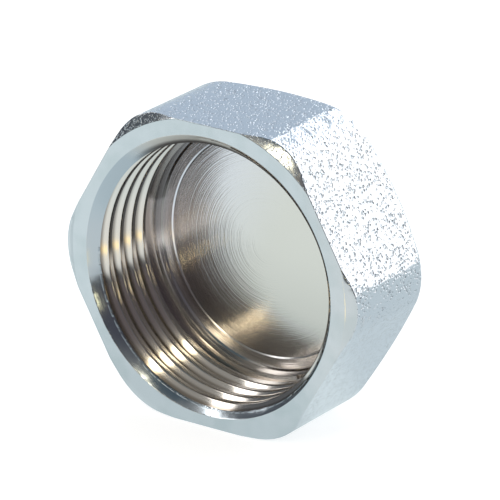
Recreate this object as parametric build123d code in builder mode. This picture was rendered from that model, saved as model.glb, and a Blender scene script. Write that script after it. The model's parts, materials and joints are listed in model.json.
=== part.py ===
"""Hexagonal pipe cap with an internal pipe thread: one brass forging, turned at its mouth.

The cap lies on one of its flats, as it does on a bench. X runs across it, Y runs along its
axis from the open mouth to the closed back, and Z is up. The origin is on the ground, under
the middle of the cap. Sizes are in millimetres and degrees.
"""

import os
from math import cos, radians, tan

from build123d import *

# Internal thread, three-quarter inch parallel pipe: the bore is made to its crests
thread_major_diameter = 26.44
thread_pitch = 1.814
thread_depth_in_pitches = 0.6403
crest_cut = 0.31               # the bore takes this much off the crests all round
thread_length = 7.9            # from the mouth face to the relief groove

# Lead into the thread, and the flat ring round it
countersink_margin = 0.16      # how far its outer edge stands outside the thread's roots
countersink_slope = 45.0       # from the axis

# Relief groove where the threading tool runs out
relief_margin = 0.1            # how far its floor stands outside the thread's roots
relief_width = 0.9             # at the bore
relief_side_slope = 15.0       # lean of its two sides

# Bottom of the bore
land_step = 0.4                # behind the groove the bore is this much narrower all round
run_in = 0.2                   # but it starts this much wider again
run_in_length = 0.6            # and narrows over this length
land_length = 0.5              # plain bore from there to its flat bottom
bottom_corner_width = 0.15     # the tool leaves a small slanted corner
bottom_groove_radius = 10.7    # shallow ring groove in the flat bottom
bottom_groove_width = 0.5
bottom_groove_depth = 0.12
floor_thickness = 4.1          # from the bottom of the bore to the back face

# Forged hexagon
side_count = 6
wall_thickness = 1.28          # from the thread's roots to the flats
corner_radius = 5.4            # rounding of the six long edges
chamfer_width = 1.0            # taken off those edges at the mouth, across the axis
chamfer_slope = 30.0           # from the mouth face

# Forged back
back_rise = 1.95               # from the back edge of a flat to the back face
back_slope = 30.0              # from the back face
back_face_blend = 3.85         # rounding between the back face and the slope
back_edge_radius = 0.95        # rounding between the slope and the flats

# Radii and depths that follow; a depth is measured from the mouth face
major_radius = thread_major_diameter / 2
minor_radius = major_radius - thread_depth_in_pitches * thread_pitch + crest_cut
countersink_radius = major_radius + countersink_margin
relief_radius = major_radius + relief_margin
land_radius = minor_radius - land_step
run_in_radius = land_radius + run_in

countersink_depth = (countersink_radius - minor_radius) / tan(radians(countersink_slope))
relief_front = (relief_radius - minor_radius) * tan(radians(relief_side_slope))
relief_rear = (relief_radius - run_in_radius) * tan(radians(relief_side_slope))
relief_end = thread_length + relief_width
land_start = relief_end + run_in_length
bore_depth = land_start + land_length
cap_height = bore_depth + floor_thickness

half_side_angle = 180 / side_count  # from the middle of a flat to its corner
flat_radius = major_radius + wall_thickness
across_flats = 2 * flat_radius
corner_reach = (flat_radius - corner_radius) / cos(radians(half_side_angle)) + corner_radius
mouth_face_radius = corner_reach - chamfer_width
back_face_radius = flat_radius - back_rise / tan(radians(back_slope))
flat_length = cap_height - back_rise

# The cap's axis, and the two planes its profiles are drawn on
mouth_centre = (0, -cap_height / 2, flat_radius)
cap_axis = Axis(mouth_centre, (0, 1, 0))
mouth_plane = Plane(origin=mouth_centre, x_dir=(1, 0, 0), z_dir=(0, 1, 0))
# On the section plane x is the depth and y is the radius.
section_plane = Plane(origin=mouth_centre, x_dir=(0, 1, 0), z_dir=(1, 0, 0))


def corner_at(depth, radius):
    """The corner of the profile being drawn that lies at this depth and radius."""
    return vertices().sort_by_distance((depth, radius))[0]


with BuildPart() as cap_body:
    # The hexagonal bar that the die forms, with its rounded long edges
    with BuildSketch(mouth_plane):
        RegularPolygon(radius=flat_radius, side_count=side_count, major_radius=False)
        fillet(vertices(), corner_radius)
    extrude(amount=cap_height)

    # Both ends are round about the axis: the mouth chamfer and the sloping back
    clear_radius = corner_reach + chamfer_width
    chamfer_end = (clear_radius - mouth_face_radius) * tan(radians(chamfer_slope))
    slope_start = flat_length - (clear_radius - flat_radius) * tan(radians(back_slope))
    with BuildSketch(section_plane):
        with BuildLine():
            Polyline(
                (0, 0),
                (0, mouth_face_radius),
                (chamfer_end, clear_radius),
                (slope_start, clear_radius),
                (cap_height, back_face_radius),
                (cap_height, 0),
                close=True,
            )
        make_face()
        fillet(corner_at(cap_height, back_face_radius), back_face_blend)
    revolve(axis=cap_axis, mode=Mode.INTERSECT)

    # The back edge of the hexagon is soft, as it leaves the die
    back_edges = (
        edges()
        .filter_by(GeomType.LINE, reverse=True)
        .filter_by_position(
            Axis.Y,
            mouth_centre[1] + slope_start,
            mouth_centre[1] + flat_length + back_edge_radius / 2,
        )
    )
    fillet(back_edges, back_edge_radius)

    # The bore: countersink, crests of the thread, relief groove, run-in, land and bottom
    with BuildSketch(section_plane):
        with BuildLine():
            Polyline(
                (0, 0),
                (0, countersink_radius),
                (countersink_depth, minor_radius),
                (thread_length, minor_radius),
                (thread_length + relief_front, relief_radius),
                (relief_end - relief_rear, relief_radius),
                (relief_end, run_in_radius),
                (land_start, land_radius),
                (bore_depth, land_radius),
                (bore_depth, bottom_groove_radius + bottom_groove_width / 2),
                (bore_depth + bottom_groove_depth, bottom_groove_radius),
                (bore_depth, bottom_groove_radius - bottom_groove_width / 2),
                (bore_depth, 0),
                close=True,
            )
        make_face()
        chamfer(corner_at(bore_depth, land_radius), bottom_corner_width)
    revolve(axis=cap_axis, mode=Mode.SUBTRACT)

cap_body.part.label = "cap_body"

os.makedirs("parts", exist_ok=True)
export_step(cap_body.part, "parts/cap_body.step")
print("across flats", round(across_flats, 3), "height", round(cap_height, 3))
print("across corners", round(2 * corner_reach, 3), "crest radius", round(minor_radius, 3))
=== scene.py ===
"""A hexagonal pipe cap: forged brass, turned and threaded at its mouth, and plated all over."""

import json
from math import cos, pi, radians, sin, sqrt, tan

import bpy
from mathutils import Matrix, Vector

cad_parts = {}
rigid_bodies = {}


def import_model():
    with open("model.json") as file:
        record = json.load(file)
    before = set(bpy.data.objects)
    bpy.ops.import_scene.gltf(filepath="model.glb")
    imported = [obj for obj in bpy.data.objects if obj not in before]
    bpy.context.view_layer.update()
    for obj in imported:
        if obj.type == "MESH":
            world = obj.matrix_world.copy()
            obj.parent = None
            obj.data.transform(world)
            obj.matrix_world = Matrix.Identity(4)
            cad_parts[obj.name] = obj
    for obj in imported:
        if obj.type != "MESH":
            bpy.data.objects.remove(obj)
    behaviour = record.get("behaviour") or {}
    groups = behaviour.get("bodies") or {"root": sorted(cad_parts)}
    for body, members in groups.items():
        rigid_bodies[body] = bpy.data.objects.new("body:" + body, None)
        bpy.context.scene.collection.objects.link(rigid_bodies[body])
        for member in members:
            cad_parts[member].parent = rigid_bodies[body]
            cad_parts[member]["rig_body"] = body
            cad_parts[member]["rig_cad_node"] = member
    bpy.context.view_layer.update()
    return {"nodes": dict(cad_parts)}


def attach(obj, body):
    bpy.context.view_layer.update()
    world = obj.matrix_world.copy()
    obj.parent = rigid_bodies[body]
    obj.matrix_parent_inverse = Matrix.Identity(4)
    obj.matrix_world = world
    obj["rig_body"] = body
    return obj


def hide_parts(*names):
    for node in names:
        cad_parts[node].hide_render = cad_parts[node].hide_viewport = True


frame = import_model()


# The cap's forging: one piece of hot brass pressed in a die to a hexagon with soft long edges
# and a sloping back. Its mouth is faced flat and its six corners are chamfered in the lathe.
mm = 0.001
axis_height = 14.5 * mm
mouth_y = -7.0 * mm
on_axis = Vector((0, mouth_y, axis_height))  # the middle of the mouth

bpy.ops.object.select_all(action="DESELECT")
forging = frame["nodes"]["cap_body"]
bpy.context.view_layer.objects.active = forging
forging.select_set(True)
bpy.ops.object.duplicate()
cap = bpy.context.active_object
cap.name = cap.data.name = "cap"
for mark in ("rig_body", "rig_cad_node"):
    if mark in cap:
        del cap[mark]
cap.parent = None
cap.data.materials.clear()

bpy.ops.object.mode_set(mode="EDIT")
bpy.ops.mesh.select_mode(type="FACE")
bpy.ops.mesh.select_all(action="SELECT")
bpy.ops.mesh.customdata_custom_splitnormals_clear()
bpy.ops.mesh.remove_doubles(threshold=0.0005 * mm)
bpy.ops.mesh.select_all(action="DESELECT")
bpy.ops.object.mode_set(mode="OBJECT")

countersink_radius = 13.38  # the outer edge of the bore, in millimetres
mouth_skin = 0.01 * mm  # a face nearer to the mouth plane than this is part of the mouth ring
bore_reach = 10.2 * mm  # the bore ends before this depth, and the back begins behind it


def depth_and_radius(point):
    """How far a point lies behind the mouth face, and how far from the cap's axis."""
    out = point - on_axis
    return out.y, sqrt(out.x**2 + out.z**2)


def in_bore(depth, radius):
    """Whether a face with its middle at this depth and radius is one of the bore's."""
    return mouth_skin < depth < bore_reach and radius < countersink_radius * mm


# The forging is solid before it is bored: the CAD bore's own faces go, and its mouth is closed.
for face in cap.data.polygons:
    face.select = in_bore(*depth_and_radius(face.center))
bpy.ops.object.mode_set(mode="EDIT")
bpy.ops.mesh.delete(type="FACE")
bpy.ops.mesh.select_mode(type="EDGE")
bpy.ops.mesh.select_non_manifold()
bpy.ops.mesh.edge_face_add()
bpy.ops.mesh.select_all(action="SELECT")
bpy.ops.mesh.dissolve_limited(angle_limit=radians(0.05), delimit={"NORMAL"})
bpy.ops.object.mode_set(mode="OBJECT")
soften = cap.modifiers.new("soften", "BEVEL")
soften.limit_method, soften.angle_limit = "ANGLE", radians(24)
soften.width, soften.segments = 0.07 * mm, 2
bpy.ops.object.modifier_apply(modifier=soften.name)


# The bore: a lathe cuts the countersink, the hole at the thread's crests, the relief groove
# behind them, and the flat bottom with its shallow ring groove, all in one clamping.
crest_radius = 12.3685
thread_length = 7.9
relief_radius = 13.32
relief_end = 8.8
land_radius = 11.9685
bore_depth = 9.9
bore_profile = [  # radius, and depth from the mouth face
    (13.47, -1.0),
    (13.47, -0.004),
    (countersink_radius, 0.018),  # the mouth ring's inner edge is slightly rounded
    (13.32, 0.06),
    (crest_radius, 1.0115),  # the 45 degree countersink ends here
    (crest_radius, thread_length),
    (relief_radius, 8.155),  # the relief groove, between two sloped sides
    (relief_radius, 8.4915),
    (12.1685, relief_end),
    (land_radius, 9.4),
    (land_radius, 9.75),
    (11.8185, bore_depth),
    (10.84, bore_depth),
    (10.7, 9.98),  # the ring groove in the bottom
    (10.56, bore_depth),
]
columns = 360  # flats of every round surface of the bore and thread

start_radius, start_depth = bore_profile[0]
bpy.ops.object.select_all(action="DESELECT")
bpy.ops.mesh.primitive_circle_add(
    vertices=columns,
    radius=start_radius * mm,
    fill_type="NGON",
    location=(0, mouth_y + start_depth * mm, axis_height),
    rotation=(pi / 2, 0, 0),
)
boring_tool = bpy.context.active_object
boring_tool.name = "boring_tool"
bpy.ops.object.transform_apply(location=True, rotation=True, scale=True)
bpy.ops.object.mode_set(mode="EDIT")
bpy.ops.mesh.select_all(action="SELECT")
for (r0, d0), (r1, d1) in zip(bore_profile, bore_profile[1:]):
    bpy.ops.mesh.extrude_region_move(TRANSFORM_OT_translate={"value": (0, (d1 - d0) * mm, 0)})
    bpy.ops.transform.resize(
        value=(r1 / r0, 1, r1 / r0), center_override=(0, mouth_y + d1 * mm, axis_height)
    )
bpy.ops.mesh.select_all(action="SELECT")
bpy.ops.mesh.normals_make_consistent(inside=False)
bpy.ops.object.mode_set(mode="OBJECT")


def cut_away(piece, tool):
    """Takes the tool's shape out of the piece, and the tool out of the scene."""
    bpy.ops.object.select_all(action="DESELECT")
    bpy.context.view_layer.objects.active = piece
    piece.select_set(True)
    cut = piece.modifiers.new("cut", "BOOLEAN")
    cut.operation, cut.solver, cut.object = "DIFFERENCE", "EXACT", tool
    bpy.ops.object.modifier_apply(modifier=cut.name)
    bpy.data.objects.remove(tool)


cut_away(cap, boring_tool)


# The thread: a tap cuts a right-handed 55 degree groove along a helix, from in front of the
# mouth to the relief groove, where it stops. The bore leaves its crests flat.
thread_pitch = 1.814
root_radius = 13.22
flank_half_angle = radians(27.5)
apex_radius = root_radius + 0.1601 * thread_pitch  # the two flanks would meet here
flank_end_radius = 13.08  # from here the flanks turn into the rounded root
tap_inner_radius = 12.0
tap_turns = 5
tap_stop_angle = radians(289)
tap_stop_depth = 8.17


def half_groove(radius):
    """Half the groove's width at this radius."""
    return (apex_radius - radius) * tan(flank_half_angle)


# The plating rounds the edges between the crests and the flanks.
edge_round = 0.24
edge_steps = 5
edge_turn = pi / 2 - flank_half_angle
half_opening = half_groove(crest_radius) + edge_round * tan(edge_turn / 2)
bends = [edge_turn * step / edge_steps for step in range(1, edge_steps + 1)]
edge = [
    (half_opening - edge_round * sin(bend), crest_radius + edge_round * (1 - cos(bend)))
    for bend in bends
]
half_tooth = [  # distance along the axis, and radius
    (half_opening + 0.02, tap_inner_radius),
    (half_opening + 0.02, crest_radius - 0.006),
    *edge,
    (half_groove(flank_end_radius), flank_end_radius),
    (0.13, 13.175),
    (0.05, 13.215),
]
tooth = half_tooth + [(-along, radius) for along, radius in reversed(half_tooth)]
tap_start_depth = tap_stop_depth - tap_turns * thread_pitch

bpy.ops.object.select_all(action="DESELECT")
bpy.ops.mesh.primitive_circle_add(vertices=len(tooth), fill_type="NOTHING")
tap = bpy.context.active_object
tap.name = "tap"
for corner, (along, radius) in zip(tap.data.vertices, tooth):
    corner.co = (
        radius * cos(tap_stop_angle) * mm,
        (tap_start_depth + along) * mm,
        radius * sin(tap_stop_angle) * mm,
    )
tap.location = on_axis
bpy.ops.object.mode_set(mode="EDIT")
bpy.ops.mesh.select_all(action="SELECT")
bpy.ops.mesh.edge_face_add()
bpy.ops.object.mode_set(mode="OBJECT")
helix = tap.modifiers.new("helix", "SCREW")
helix.axis = "Y"
helix.angle = 2 * pi
helix.screw_offset = thread_pitch * mm
helix.iterations = tap_turns
helix.steps = helix.render_steps = columns
helix.use_merge_vertices = False
bpy.ops.object.modifier_apply(modifier=helix.name)
bpy.ops.object.transform_apply(location=True, rotation=True, scale=True)
bpy.ops.object.mode_set(mode="EDIT")
bpy.ops.mesh.select_all(action="SELECT")
bpy.ops.mesh.fill_holes(sides=0)
bpy.ops.mesh.normals_make_consistent(inside=False)
bpy.ops.object.mode_set(mode="OBJECT")
cut_away(cap, tap)

bpy.ops.object.shade_smooth_by_angle(angle=radians(22))
weigh = cap.modifiers.new("weigh", "WEIGHTED_NORMAL")
weigh.keep_sharp = True
weigh.weight = 80
bpy.ops.object.modifier_apply(modifier=weigh.name)


# The cap's finish: one thin bright plating over the whole brass, which shows what lies under it.
# The forged skin, the turned face, the bore and its bottom each keep the marks of their tool.
class Finish:
    """One socket among a material's nodes. Sums on it add Math nodes to the material."""

    def __init__(self, tree, socket=None):
        self.tree, self.socket = tree, socket

    def node(self, kind, settings=None, inputs=None, output=0):
        """Adds a node, with its settings made first, and gives one of its outputs, if any."""
        new = self.tree.nodes.new(kind)
        for name, value in (settings or {}).items():
            setattr(new, name, value)
        for name, value in (inputs or {}).items():
            if isinstance(value, Finish):
                self.tree.links.new(value.socket, new.inputs[name])
            else:
                new.inputs[name].default_value = value
        return Finish(self.tree, new.outputs[output]) if new.outputs else None

    def maths(self, operation, *values):
        """Adds a Math node."""
        return self.node("ShaderNodeMath", {"operation": operation}, dict(enumerate(values)))

    def __add__(self, other):
        return self.maths("ADD", self, other)

    def __radd__(self, other):
        return self.maths("ADD", other, self)

    def __sub__(self, other):
        return self.maths("SUBTRACT", self, other)

    def __rsub__(self, other):
        return self.maths("SUBTRACT", other, self)

    def __mul__(self, other):
        return self.maths("MULTIPLY", self, other)

    def __rmul__(self, other):
        return self.maths("MULTIPLY", other, self)

    def __truediv__(self, other):
        return self.maths("DIVIDE", self, other)

    def __neg__(self):
        return 0.0 - self

    def ramp(self, low, high):
        """0 below low, 1 above high, and smooth between."""
        settings = {"interpolation_type": "SMOOTHSTEP"}
        return self.node("ShaderNodeMapRange", settings, {0: self, 1: low, 2: high, 3: 0.0, 4: 1.0})

    def line(self, inner, outer):
        """1 where this is near 0 and 0 away from it, with squares of the distance as limits."""
        return 1.0 - (self * self).ramp(inner, outer)

    def mix(self, first, second):
        """One colour where this is 0, the other where it is 1."""
        inputs = {0: self, 6: first, 7: second}
        return self.node("ShaderNodeMix", {"data_type": "RGBA"}, inputs, output=2)

    def dot(self, direction):
        """How far this point lies out in a direction."""
        settings = {"operation": "DOT_PRODUCT"}
        return self.node("ShaderNodeVectorMath", settings, {0: self, 1: direction}, output=1)

    def length(self):
        """How long this vector is."""
        return self.node("ShaderNodeVectorMath", {"operation": "LENGTH"}, {0: self}, output=1)

    def moved(self, way, distance):
        """This point, moved a distance along a way."""
        step = self.node("ShaderNodeVectorMath", {"operation": "SCALE"}, {0: way, 3: distance})
        return self.node("ShaderNodeVectorMath", {"operation": "ADD"}, {0: self, 1: step})

    def noise(self, scale, detail, output=0):
        """Soft noise in space, read at this point."""
        inputs = {"Vector": self, "Scale": scale, "Detail": detail}
        return self.node("ShaderNodeTexNoise", {}, inputs, output)

    def bands(self, scale, detail):
        """Soft noise along this number, which gives rings over a radius."""
        inputs = {"W": self, "Scale": scale, "Detail": detail}
        return self.node("ShaderNodeTexNoise", {"noise_dimensions": "1D"}, inputs)

    def relief(self, depth):
        """A surface that this number raises, by the depth where it is 1."""
        return self.node("ShaderNodeBump", {}, {"Strength": 1.0, "Distance": depth, "Height": self})


def bare_nodes(owner):
    """Clears the nodes of a new material or world, and gives the way to add its own."""
    owner.use_nodes = True
    owner.node_tree.nodes.clear()
    return Finish(owner.node_tree)


def plated(name):
    """A new material for plated metal, and its places in millimetres from the mouth's middle."""
    material = bpy.data.materials.new(name)
    place = bare_nodes(material).node("ShaderNodeTexCoord", output=3)
    inputs = {0: place, 1: (0, -mouth_y / mm, -axis_height / mm), 3: (1 / mm, 1 / mm, 1 / mm)}
    return material, place.node("ShaderNodeMapping", {"vector_type": "POINT"}, inputs)


def about_axis(place):
    """How far a place lies to the right, behind the mouth, above the axis and off the axis."""
    split = place.node("ShaderNodeSeparateXYZ", {}, {0: place}).socket.node
    across, behind, upward = (Finish(place.tree, number) for number in split.outputs)
    return across, behind, upward, place.maths("SQRT", across * across + upward * upward)


def plate(place, look):
    """Ends a material with bright metal of this look."""
    shader = place.node("ShaderNodeBsdfPrincipled", {}, {"Metallic": 1.0, **look})
    place.node("ShaderNodeOutputMaterial", {}, {0: shader})


# The forged skin: the brass takes the die's grain and is blasted, so small pits cover it, drawn
# out a little along the flow of the metal. The thin plating follows them and stays bright.
forged, place = plated("plated_forged_skin")
flow = (-0.227, 0.891, 0.393)
spot = place.moved(flow, place.dot(flow) * -0.42)
spot = spot.moved(spot.noise(3.0, 1.0, output=1), 0.35)
cells = spot.node("ShaderNodeTexVoronoi", {}, {"Vector": spot, "Scale": 3.5, "Randomness": 0.85})
pits = (1.0 - cells.ramp(0.16, 0.52)) * (0.25 + place.noise(1.6, 2.0).ramp(0.35, 0.6) * 0.75)
skin = (place.noise(0.5, 1.0) * 1.2 - pits).relief(0.06 * mm)
plate(place, {"Base Color": (0.70, 0.725, 0.75, 1), "Roughness": 0.1, "Normal": skin})

# The turned face: mouth ring, corner chamfers and countersink, faced in the lathe and plated.
# The tap's first turn leaves a beaded burr on the countersink, which is dull at its top, where a
# pale band and a dark line are painted in as reflection.
turned, place = plated("plated_turned_face")
across, behind, upward, radius = about_axis(place)
rise = upward / radius
swell = place.noise(0.35, 2.0)

# The groove's edge on the countersink winds inwards with the helix.
angle = place.maths("ARCTAN2", upward, across)
edge_at_zero_angle = 19.824
edge_slope = 1.5206  # the slope of the countersink, 1, and that of the flank added up
burr_radius = (edge_at_zero_angle + angle * (thread_pitch / (2 * pi))) / edge_slope
beads = angle.bands(26.0, 1.0)
lip = (radius - burr_radius - 0.1).line(0.0008, 0.005) * beads.ramp(0.42, 0.5)
chips = (radius - 13.37).line(0.0004, 0.003) * beads.ramp(0.5, 0.56)
low_left = (-rise).ramp(0.15, 0.4) * (-(across / radius)).ramp(-0.1, 0.2)
inside_ring = 1.0 - radius.ramp(countersink_radius, 13.42)
below_axis = (-upward).ramp(-0.5, 0.5)
burr = (lip + chips * low_left) * inside_ring * below_axis

# The cutter leaves a little of the forged grain on the upper corner chamfers.
outside_ring = radius.ramp(14.9, 14.96)
grain = outside_ring * place.noise(5.0, 1.0).ramp(0.56, 0.68) * rise.ramp(0.3, 0.5)
height = radius.bands(7.0, 2.0) * 0.1 + swell * 3.0 + burr * 4.0 + grain * 3.0

face_tone = swell.ramp(0.35, 0.7).mix((0.72, 0.745, 0.76, 1), (0.65, 0.69, 0.70, 1))
# The countersink's top has a painted reflection: dark near the thread, pale towards the mouth ring.
top_with_painted_reflection = rise.ramp(0.7, 0.92)
countersunk = 1.0 - radius.ramp(13.34, 13.42)
painted_reflection_at_top = radius.ramp(12.5, 12.95).mix((0.2, 0.18, 0.17, 1), (0.94, 0.89, 0.83, 1))
plate(
    place,
    {
        "Base Color": countersunk.mix(face_tone, top_with_painted_reflection.mix((0.56, 0.61, 0.65, 1), painted_reflection_at_top)),
        "Roughness": countersunk * top_with_painted_reflection * 0.3 + 0.16,
        "Normal": height.relief(0.014 * mm),
    },
)

# The bore: cut brass under thin plating, bright on the flanks. Its colour has painted shade in the
# roots and in the relief groove, and a painted dark reflection on the crests of the upper half.
bore, place = plated("plated_bore")
across, behind, upward, radius = about_axis(place)
rise = upward / radius
floorward = (-rise).ramp(0.8, 0.95)
# Painted shade in the roots, lighter and warmer below the axis.
root_painted_shade = (-rise).ramp(0.12, 0.4).mix((0.34, 0.31, 0.28, 1), (0.40, 0.345, 0.29, 1))
colour = radius.ramp(12.66, 12.98).mix((0.84, 0.785, 0.72, 1), root_painted_shade)
# A painted dark reflection on the crests of the upper half.
painted_dark_crests = (1.0 - radius.ramp(12.37, 12.4)) * rise.ramp(-0.2, -0.02)
colour = painted_dark_crests.mix(colour, (0.085, 0.075, 0.065, 1))
# Painted shade in the relief groove, weaker on the land behind it, lighter lower down and towards
# the lowest side.
behind_thread = behind.ramp(7.85, 8.0)
behind_relief = behind.ramp(relief_end, 8.95)
painted_lighter_below = (-rise).ramp(-0.21, -0.17)
relief_painted_shade_tone = painted_lighter_below.mix((0.36, 0.335, 0.32, 1), (0.72, 0.68, 0.66, 1))
painted_shade_in_relief = (behind_thread - behind_relief * 0.6) * (1.0 - floorward * 0.9)
dull = behind_thread * 0.05 * (1.0 - floorward) + 0.12
plate(place, {"Base Color": painted_shade_in_relief.mix(colour, relief_painted_shade_tone), "Roughness": dull})

# The bottom: faced flat with the nose of the boring tool, whose fine rings stay under the plating.
# They are deeper on the left. Its colour has a painted reflection, lighter and bluer towards the
# upper left and warmer on the right, and painted shade, darker towards the lower edge.
bottom, place = plated("plated_bore_bottom")
across, behind, upward, radius = about_axis(place)
marks = radius.bands(8.0, 3.0)
leftward = across * -0.75
left_depth = (leftward + upward * 0.1).ramp(-3.0, 5.0) * 0.7 + 0.4
# A painted reflection: lighter and bluer towards the upper left, warmer on the right.
painted_reflection_tone = (leftward + upward * 0.4 + marks * 2.0).ramp(0.0, 10.0)
colour = painted_reflection_tone.mix((0.81, 0.765, 0.69, 1), (0.86, 0.835, 0.87, 1))
# Painted shade, darker towards the lower edge.
low = (across * -0.2 - upward * 0.98 + marks).ramp(5.0, 10.5)
colour = low.mix(colour, (0.50, 0.485, 0.475, 1))
rings = (marks * left_depth).relief(0.013 * mm)
plate(place, {"Base Color": colour, "Roughness": 0.17, "Normal": rings})

# Each face takes the finish of the tool that made it. On the 45 degree countersink the radius
# and the depth add up to its outer radius.
finishes = [forged, turned, bore, bottom]
for material in finishes:
    cap.data.materials.append(material)
for face in cap.data.polygons:
    depth, radius = depth_and_radius(face.center)
    on_countersink = abs(radius + depth - countersink_radius * mm) < 0.03 * mm
    if in_bore(depth, radius) and not on_countersink:
        look = bottom if depth > 9.89 * mm else bore
    elif depth < mouth_skin or on_countersink or face.normal.y < -0.8:
        look = turned
    else:
        look = forged
    face.material_index = finishes.index(look)

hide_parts("cap_body")
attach(cap, "root")


# The bench under the cap: a plain pale sheet of paper, which the cap lies on with one flat. The
# plated metal sees it with the cap's shadow painted in, darker beside the cap and close in front of
# it, and black far in front.
bpy.ops.object.select_all(action="DESELECT")
bpy.ops.mesh.primitive_plane_add(size=4.0, location=(0, 0, -0.02 * mm))
floor = bpy.context.active_object
floor.name = "floor"
bpy.ops.object.transform_apply(location=True, rotation=True, scale=True)

paper = bpy.data.materials.new("pale_floor")
finish = bare_nodes(paper)
place = finish.node("ShaderNodeTexCoord", output=3)
seen_in_metal = finish.node("ShaderNodeLightPath", output=3)
seen_by_camera = finish.node("ShaderNodeLightPath", output=0)
far = place.length().ramp(0.11, 0.2)
rightward = place.dot((0.9, -0.6, 0)).ramp(0.011, 0.02)
frontward = place.dot((0, -1, 0))
shown = rightward.mix((0.80, 0.90, 0.93, 1), (0.82, 0.87, 0.88, 1))
# Painted shadow of the cap, behind its mouth and close in front of it, seen only in the metal.
shown = (-frontward).ramp(0.002, 0.01).mix(shown, (0.67, 0.765, 0.815, 1))
cap_shade = frontward.ramp(0.0, 0.004) * (1.0 - frontward.ramp(0.010, 0.032))
shown = (cap_shade * (1.0 - rightward)).mix(shown, (0.65, 0.74, 0.77, 1))
shown = (far * frontward.ramp(-0.04, 0.04)).mix(shown, (0.03, 0.035, 0.045, 1))

# A small golden patch of light from a low lamp is painted on it, in front on the right.
from_patch = finish.node(
    "ShaderNodeMapping",
    {"vector_type": "TEXTURE"},
    {0: place, 1: (0.0135, -0.048, 0), 2: (0, 0, radians(35)), 3: (0.012, 0.004, 1)},
)
shown = from_patch.length().ramp(0.75, 1.1).mix((1.9, 1.5, 0.7, 1), shown)

matt = finish.node("ShaderNodeBsdfDiffuse", {}, {"Color": (0.72, 0.72, 0.72, 1)})
lift = finish.node("ShaderNodeEmission", {}, {"Strength": seen_by_camera * (far * 0.36 + 0.64)})
plain = finish.node("ShaderNodeAddShader", {}, {0: matt, 1: lift})
glow = finish.node("ShaderNodeEmission", {}, {"Color": shown, "Strength": 1.0})
whole = finish.node("ShaderNodeMixShader", {}, {0: seen_in_metal, 1: plain, 2: glow})
finish.node("ShaderNodeOutputMaterial", {}, {0: whole})
floor.data.materials.append(paper)


# The light: a wide soft box behind, two tall narrow ones on the left, and two narrow warm lamps,
# one in front and one low on the right. All five stand equally far from the cap.
def bearing(azimuth, elevation):
    """The direction this many degrees right of the mouth's axis, and this many above the bench."""
    a, e = radians(azimuth), radians(elevation)
    return Vector((sin(a) * cos(e), -cos(a) * cos(e), sin(e)))


lamps = [  # name, its two ends, width in degrees, radiance and colour
    ("box_back", bearing(164, 0), bearing(164, 42), 66, 1.6, (1.0, 1.0, 1.0)),
    ("box_left_front", bearing(-37, 8), bearing(-61, 54), 11, 2.6, (1.0, 1.0, 1.0)),
    ("box_left", bearing(-83, 20), bearing(-83, 40), 9, 2.2, (1.0, 1.0, 1.0)),
    ("lamp_front", bearing(-13, 10), bearing(9, 42), 6, 5.5, (1.0, 0.9, 0.66)),
    ("lamp_right", bearing(36, 2), bearing(37, 9), 2.5, 6.0, (1.0, 0.9, 0.55)),
]
lamp_distance = 400 * mm
cap_middle = Vector((0, 0, axis_height))
for name, low, high, width, radiance, colour in lamps:
    middle = (low + high).normalized()
    data = bpy.data.lights.new(name, "AREA")
    data.shape = "RECTANGLE"
    data.size = 2 * lamp_distance * tan(radians(width / 2))
    data.size_y = 2 * lamp_distance * tan(low.angle(high) / 2)
    data.energy = radiance * pi * data.size * data.size_y
    data.color = colour
    lamp = bpy.data.objects.new(name, data)
    bpy.context.scene.collection.objects.link(lamp)
    along = (high - low).normalized()
    turn = Matrix((along.cross(middle), along, middle)).transposed().to_4x4()
    lamp.matrix_world = Matrix.Translation(cap_middle + middle * lamp_distance) @ turn


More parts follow.
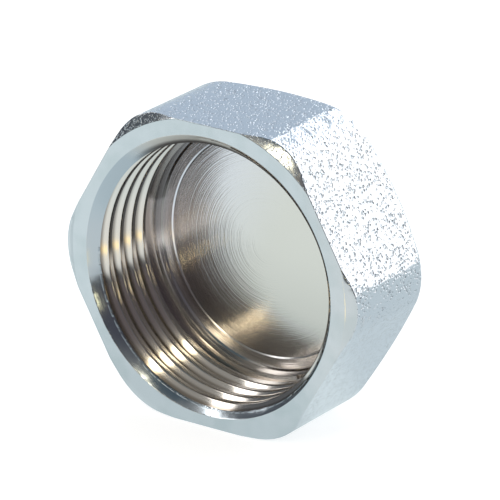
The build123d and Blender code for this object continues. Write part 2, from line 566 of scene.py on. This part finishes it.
# The room: white to the camera and a plain grey light on the cap. Its plated metal sees dim
# walls, darkest on the right, with a bluish window behind on the left.
room = bpy.data.worlds.new("room")
bpy.context.scene.world = room
finish = bare_nodes(room)
toward = finish.node("ShaderNodeTexCoord", output=0)
seen_in_metal = finish.node("ShaderNodeLightPath", output=3)
seen_by_camera = finish.node("ShaderNodeLightPath", output=0)
rightward = toward.dot((0.995, 0.1, 0)).ramp(-0.05, 0.5)
in_metal = rightward.mix((0.27, 0.275, 0.27, 1), (0.08, 0.08, 0.1, 1))
places = [  # direction, where the tone begins and is full, and the tone
    ((-0.95, -0.28, 0.15), 0.8, 0.93, (0.09, 0.1, 0.115, 1)),  # low on the left
    ((-0.52, 0.78, 0.35), 0.55, 0.8, (0.54, 0.64, 0.76, 1)),  # window, behind on the left
    ((0.22, -0.96, 0.12), 0.9, 0.97, (0.11, 0.1, 0.11, 1)),  # low in front
    ((-0.02, -0.50, 0.866), 0.93, 0.98, (0.07, 0.1, 0.125, 1)),  # overhead
]
for direction, begins, full, tone in places:
    in_metal = toward.dot(direction).ramp(begins, full).mix(in_metal, tone)
colour = seen_in_metal.mix((0.45, 0.46, 0.47, 1), in_metal)
colour = seen_by_camera.mix(colour, (1, 1, 1, 1))
sky = finish.node("ShaderNodeBackground", {}, {"Color": colour})
finish.node("ShaderNodeOutputWorld", {}, {0: sky})


# The camera: far off with a long lens, in front of the cap to its right and a little above. It
# is turned so that the middle of the mouth falls on its own pixel of the frame.
azimuth, elevation, roll = radians(34.25), radians(20.81), radians(0.43)
lens_in_pixels = 5000
distance = 449.4 * mm
frame_middle = 250
mouth_pixel = (206.5, 278.0)

right = Vector((cos(azimuth), sin(azimuth), 0))
ahead = Vector(
    (-sin(azimuth) * cos(elevation), cos(azimuth) * cos(elevation), -sin(elevation))
)
down = ahead.cross(right)
across = cos(roll) * right - sin(roll) * down
downward = sin(roll) * right + cos(roll) * down
shift_across = (mouth_pixel[0] - frame_middle) / lens_in_pixels * distance
shift_down = (mouth_pixel[1] - frame_middle) / lens_in_pixels * distance

camera_data = bpy.data.cameras.new("camera")
camera_data.sensor_fit = "HORIZONTAL"
camera_data.sensor_width = 36.0
camera_data.lens = camera_data.sensor_width * lens_in_pixels / (2 * frame_middle)
camera_data.clip_start, camera_data.clip_end = 0.01, 10.0
camera = bpy.data.objects.new("camera", camera_data)
bpy.context.scene.collection.objects.link(camera)
turn = Matrix((across, -downward, -ahead)).transposed().to_4x4()
stand = on_axis - (shift_across * across + shift_down * downward + distance * ahead)
camera.matrix_world = Matrix.Translation(stand) @ turn
bpy.context.scene.camera = camera
bpy.context.scene.view_settings.view_transform = "Standard"
